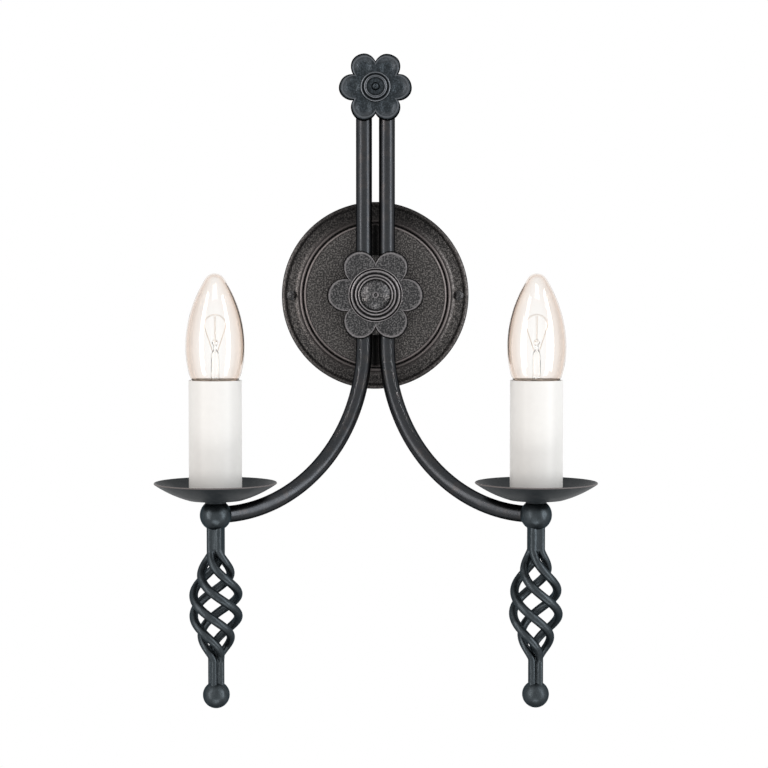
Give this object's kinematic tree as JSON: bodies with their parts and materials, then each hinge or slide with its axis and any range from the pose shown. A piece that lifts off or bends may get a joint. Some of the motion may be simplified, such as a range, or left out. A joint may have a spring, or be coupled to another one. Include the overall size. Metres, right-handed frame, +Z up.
{
  "type": "two-light wall lamp",
  "caption": "Black iron wall lamp with twin curved arms, drip pans, candle sleeves, candle bulbs, twisted basket drops and flower rosettes on a round plate.",
  "frame": {"origin": "centre of the round plate, on the wall surface, midway between the two wall slots", "axes": "+X to the right, +Y into the wall, +Z up; the lamp stands out of the wall towards -Y"},
  "size_m": [0.2634, 0.1317, 0.3958],
  "materials": {
    "plate_iron": "fine sand-textured black powder coat",
    "black_iron": "satin black enamel on forged steel",
    "zinc_steel": "bright zinc plating",
    "brass": "plain turned and pressed brass",
    "white_nylon": "moulded, slightly translucent",
    "black_plastic": "moulded black thermoset",
    "ivory_plastic": "satin cream-white candle tube",
    "clear_glass": "clear blown glass",
    "stem_glass": "clear drawn glass",
    "black_glass": "black vitrite",
    "nickel": "nickel-plated brass",
    "filament_wire": "drawn tungsten and nickel wire",
    "wire_sleeving": "heat-resistant sleeving, one brown and one blue wire",
    "earth_sleeving": "green and yellow sleeving"
  },
  "bodies": {
    "root": {"wall_bracket": "zinc_steel", "bracket_earth_screw": "brass", "terminal_block": "white_nylon", "terminal_barrels": "brass", "terminal_clamp_screws": "zinc_steel", "terminal_block_screws": "zinc_steel", "earth_wire": "earth_sleeving", "backplate": "plate_iron", "backplate_screws": "plate_iron", "arm_spacer": "plate_iron", "arm_carrier": "plate_iron", "carrier_screws": "zinc_steel", "centre_flower": "plate_iron", "centre_boss": "plate_iron", "centre_stud": "zinc_steel", "top_flower": "plate_iron", "top_boss": "plate_iron", "top_stud": "zinc_steel", "top_tie": "black_iron", "stud_nuts": "zinc_steel", "left_arm_tube": "black_iron", "left_hub_ball": "black_iron", "left_pan_collar": "black_iron", "left_drip_pan": "black_iron", "left_nipple": "zinc_steel", "left_pan_nut": "zinc_steel", "left_basket_rods": "black_iron", "left_finial_ball": "black_iron", "left_holder_base": "black_plastic", "left_holder_body": "black_plastic", "left_screw_shell": "brass", "left_centre_contact": "brass", "left_holder_terminals": "brass", "left_wires": "wire_sleeving", "right_arm_tube": "black_iron", "right_hub_ball": "black_iron", "right_pan_collar": "black_iron", "right_drip_pan": "black_iron", "right_nipple": "zinc_steel", "right_pan_nut": "zinc_steel", "right_basket_rods": "black_iron", "right_finial_ball": "black_iron", "right_holder_base": "black_plastic", "right_holder_body": "black_plastic", "right_screw_shell": "brass", "right_centre_contact": "brass", "right_holder_terminals": "brass", "right_wires": "wire_sleeving"},
    "left_sleeve": {"left_candle_sleeve": "ivory_plastic"},
    "left_bulb": {"left_bulb_glass": "clear_glass", "left_bulb_cap": "nickel", "left_bulb_insulator": "black_glass", "left_bulb_stem": "stem_glass", "left_bulb_filament": "filament_wire"},
    "right_sleeve": {"right_candle_sleeve": "ivory_plastic"},
    "right_bulb": {"right_bulb_glass": "clear_glass", "right_bulb_cap": "nickel", "right_bulb_insulator": "black_glass", "right_bulb_stem": "stem_glass", "right_bulb_filament": "filament_wire"}
  },
  "joints": [
    {"name": "left_sleeve_lift", "type": "slide", "parent": "root", "child": "left_sleeve", "axis": [0, 0, 1], "range_m": [0, 0.07]},
    {"name": "left_bulb_lift", "type": "slide", "parent": "left_sleeve", "child": "left_bulb", "axis": [0, 0, 1], "range_m": [0, 0.04]},
    {"name": "right_sleeve_lift", "type": "slide", "parent": "root", "child": "right_sleeve", "axis": [0, 0, 1], "range_m": [0, 0.07]},
    {"name": "right_bulb_lift", "type": "slide", "parent": "right_sleeve", "child": "right_bulb", "axis": [0, 0, 1], "range_m": [0, 0.04]}
  ]
}
